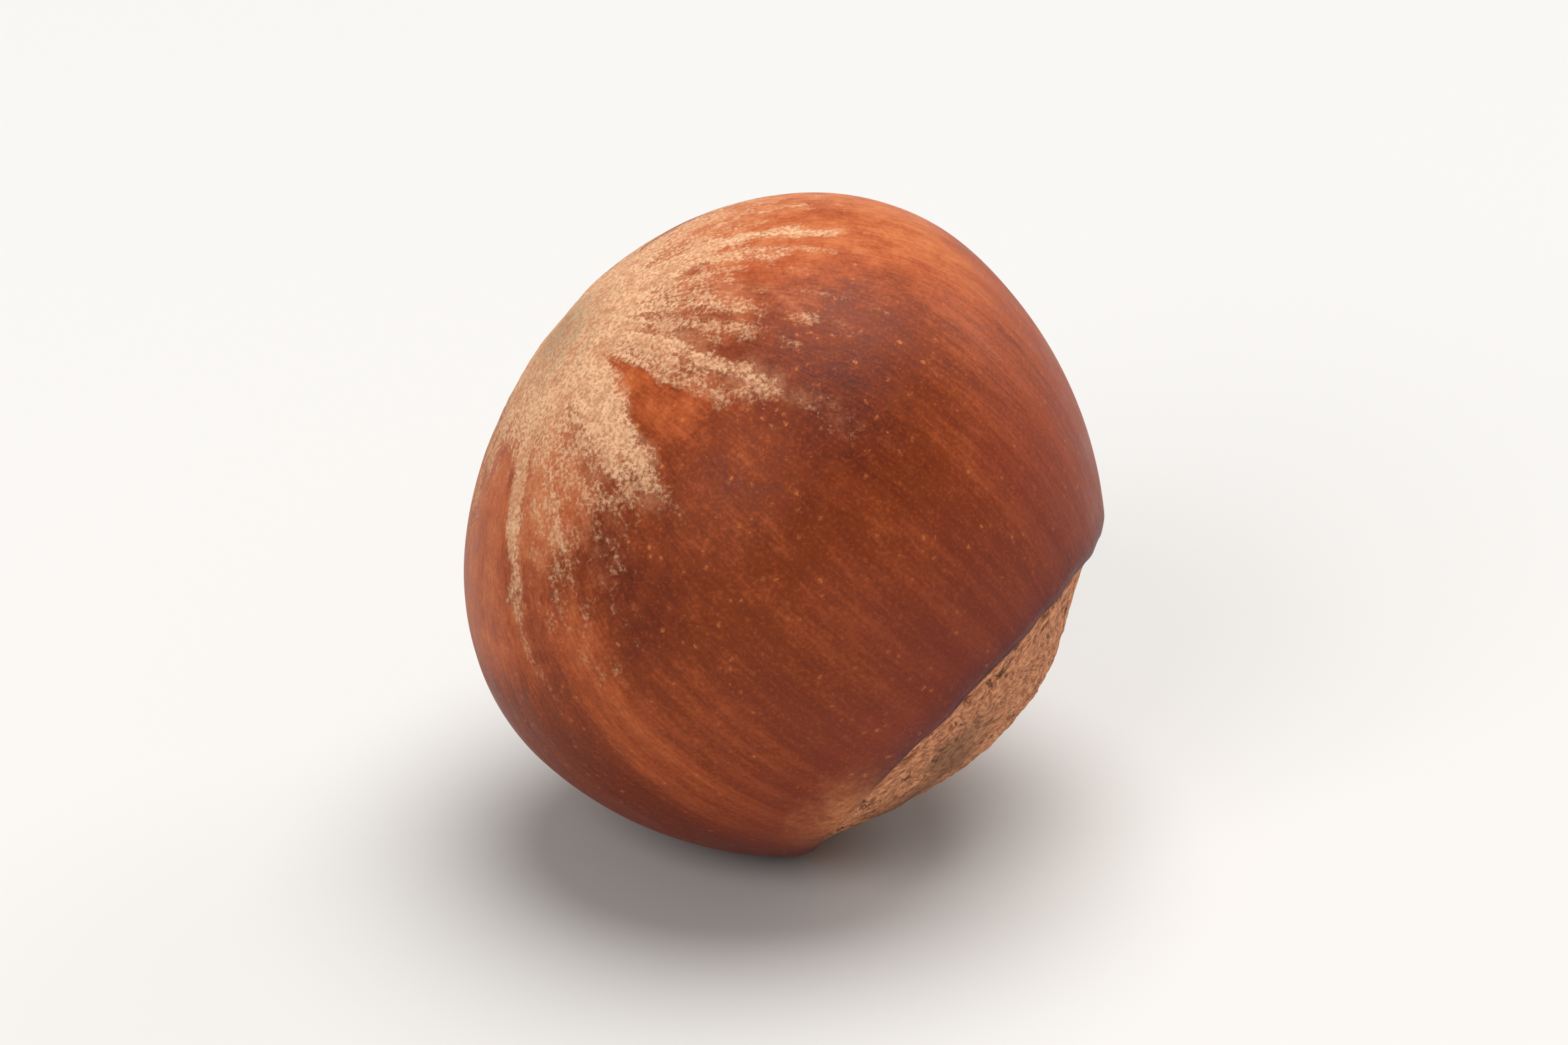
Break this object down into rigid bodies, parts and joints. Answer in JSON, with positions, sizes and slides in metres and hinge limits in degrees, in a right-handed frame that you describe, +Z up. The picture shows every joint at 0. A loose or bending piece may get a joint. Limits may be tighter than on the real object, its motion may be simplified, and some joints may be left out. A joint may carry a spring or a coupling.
{
  "type": "hazelnut",
  "caption": "Round hazelnut in its shell, with a felted tip and a broad pale base scar, resting on a small flat spot on its side with the tip raised.",
  "frame": {"origin": "middle of the small flat spot that the nut rests on", "axes": "+Z up, square to the flat spot; the tip leans 45 degrees from +Z towards -X; +Y towards the back"},
  "size_m": [0.0212, 0.0208, 0.0215],
  "materials": {
    "nut_shell": "satin"
  },
  "bodies": {
    "root": {"hazelnut": "nut_shell"}
  },
  "joints": []
}
